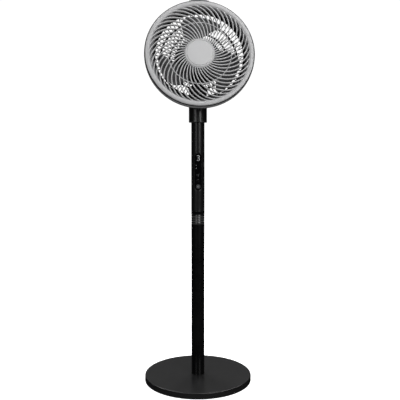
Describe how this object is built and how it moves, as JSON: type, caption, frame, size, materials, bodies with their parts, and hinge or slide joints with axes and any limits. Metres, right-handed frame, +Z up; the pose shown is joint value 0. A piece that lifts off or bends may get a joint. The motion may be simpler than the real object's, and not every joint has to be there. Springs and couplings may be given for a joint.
{
  "type": "pedestal fan",
  "caption": "Pedestal fan with a heavy round base, slim pole with a panel of touch controls, swivelling neck, and a tilting round head with spiral front ribs.",
  "frame": {"origin": "centre of the footprint on the floor, under the pole's axis", "axes": "+Z up along the pole, the fan blows towards -Y, +X to the right of someone looking along +Y at its front"},
  "size_m": [0.305, 0.305, 1.0596],
  "materials": {
    "base_satin": "fine satin, dark grey",
    "base_steel": "matt black",
    "ballast_iron": "rough cast",
    "foot_rubber": "matt",
    "screw_steel": "zinc plated",
    "gland_rubber": "matt",
    "plug_steel": "turned",
    "pole_gloss": "smooth black powder coat",
    "sleeve_black": "semi-gloss black",
    "core_alloy": "plain",
    "tube_satin": "satin black",
    "window_gloss": "high gloss black",
    "button_grey": "satin grey",
    "board_green": "solder mask",
    "digit_white": "lit white digit",
    "lamp_grey": "light guide",
    "switch_grey": "plain",
    "bracket_black": "plain black",
    "drive_steel": "plated",
    "bearing_steel": "ground",
    "shaft_steel": "ground",
    "collar_satin": "satin black",
    "neck_black": "satin black",
    "disc_fibre": "fibre",
    "pod_black": "satin black",
    "rear_black": "satin black",
    "trim_grey": "satin grey",
    "duct_silver": "silver paint",
    "grille_silver": "silver paint",
    "cap_silver": "silver paint",
    "latch_silver": "silver paint",
    "can_alloy": "die cast",
    "stator_iron": "laminations and copper windings",
    "rotor_iron": "plain",
    "blade_grey": "satin dark grey",
    "nut_black": "plain black"
  },
  "bodies": {
    "base": {"base_shell": "base_satin", "base_plate": "base_steel", "base_weight": "ballast_iron", "base_feet": "foot_rubber", "base_screws": "screw_steel", "cord_gland": "gland_rubber", "pole_bolt": "screw_steel", "pole_plug": "plug_steel", "lower_pole": "pole_gloss", "coupling_sleeve": "sleeve_black", "coupling_core": "core_alloy", "control_tube": "tube_satin", "panel_window": "window_gloss", "control_board": "board_green", "digit_display": "digit_white", "panel_lamps": "lamp_grey", "button_switch": "switch_grey", "board_bracket": "bracket_black", "board_screws": "screw_steel", "swivel_motor": "drive_steel", "tube_cap": "bracket_black", "swivel_bearings": "bearing_steel"},
    "button": {"power_button": "button_grey"},
    "swivel": {"swivel_shaft": "shaft_steel", "collar": "collar_satin", "neck_fork": "neck_black", "neck_screws": "screw_steel", "tilt_pin": "shaft_steel", "tilt_discs": "disc_fibre"},
    "head": {"motor_pod": "pod_black", "pod_screws": "screw_steel", "rear_grille": "rear_black", "trim_ring": "trim_grey", "air_duct": "duct_silver", "front_grille": "grille_silver", "hub_cap": "cap_silver", "latch_pin": "screw_steel", "motor_can": "can_alloy", "motor_screws": "screw_steel", "motor_stator": "stator_iron", "motor_bearings": "bearing_steel"},
    "latch": {"latch": "latch_silver"},
    "rotor": {"motor_rotor": "rotor_iron", "motor_shaft": "shaft_steel", "fan_blades": "blade_grey", "spinner_nut": "nut_black"}
  },
  "joints": [
    {"name": "power_press", "type": "slide", "parent": "base", "child": "button", "axis": [0, 1, 0], "range_m": [0, 0.0008], "stiffness_N_per_m": 600},
    {"name": "swivel", "type": "hinge", "parent": "base", "child": "swivel", "pos_m": [0, 0, 0.74], "axis": [0, 0, 1], "range_deg": [-60, 60]},
    {"name": "tilt", "type": "hinge", "parent": "swivel", "child": "head", "pos_m": [0, -0.00402, 0.82204], "axis": [-1, 0, 0], "range_deg": [-22, 78]},
    {"name": "rotor_spin", "type": "hinge", "parent": "head", "child": "rotor", "pos_m": [0, -0.05598, 0.90464], "axis": [0, 0.9781, -0.2079], "continuous": true},
    {"name": "latch_lift", "type": "hinge", "parent": "head", "child": "latch", "pos_m": [0, -0.06121, 1.05563], "axis": [-1, 0, 0], "range_deg": [0, 15], "stiffness_Nm_per_rad": 0.06}
  ]
}
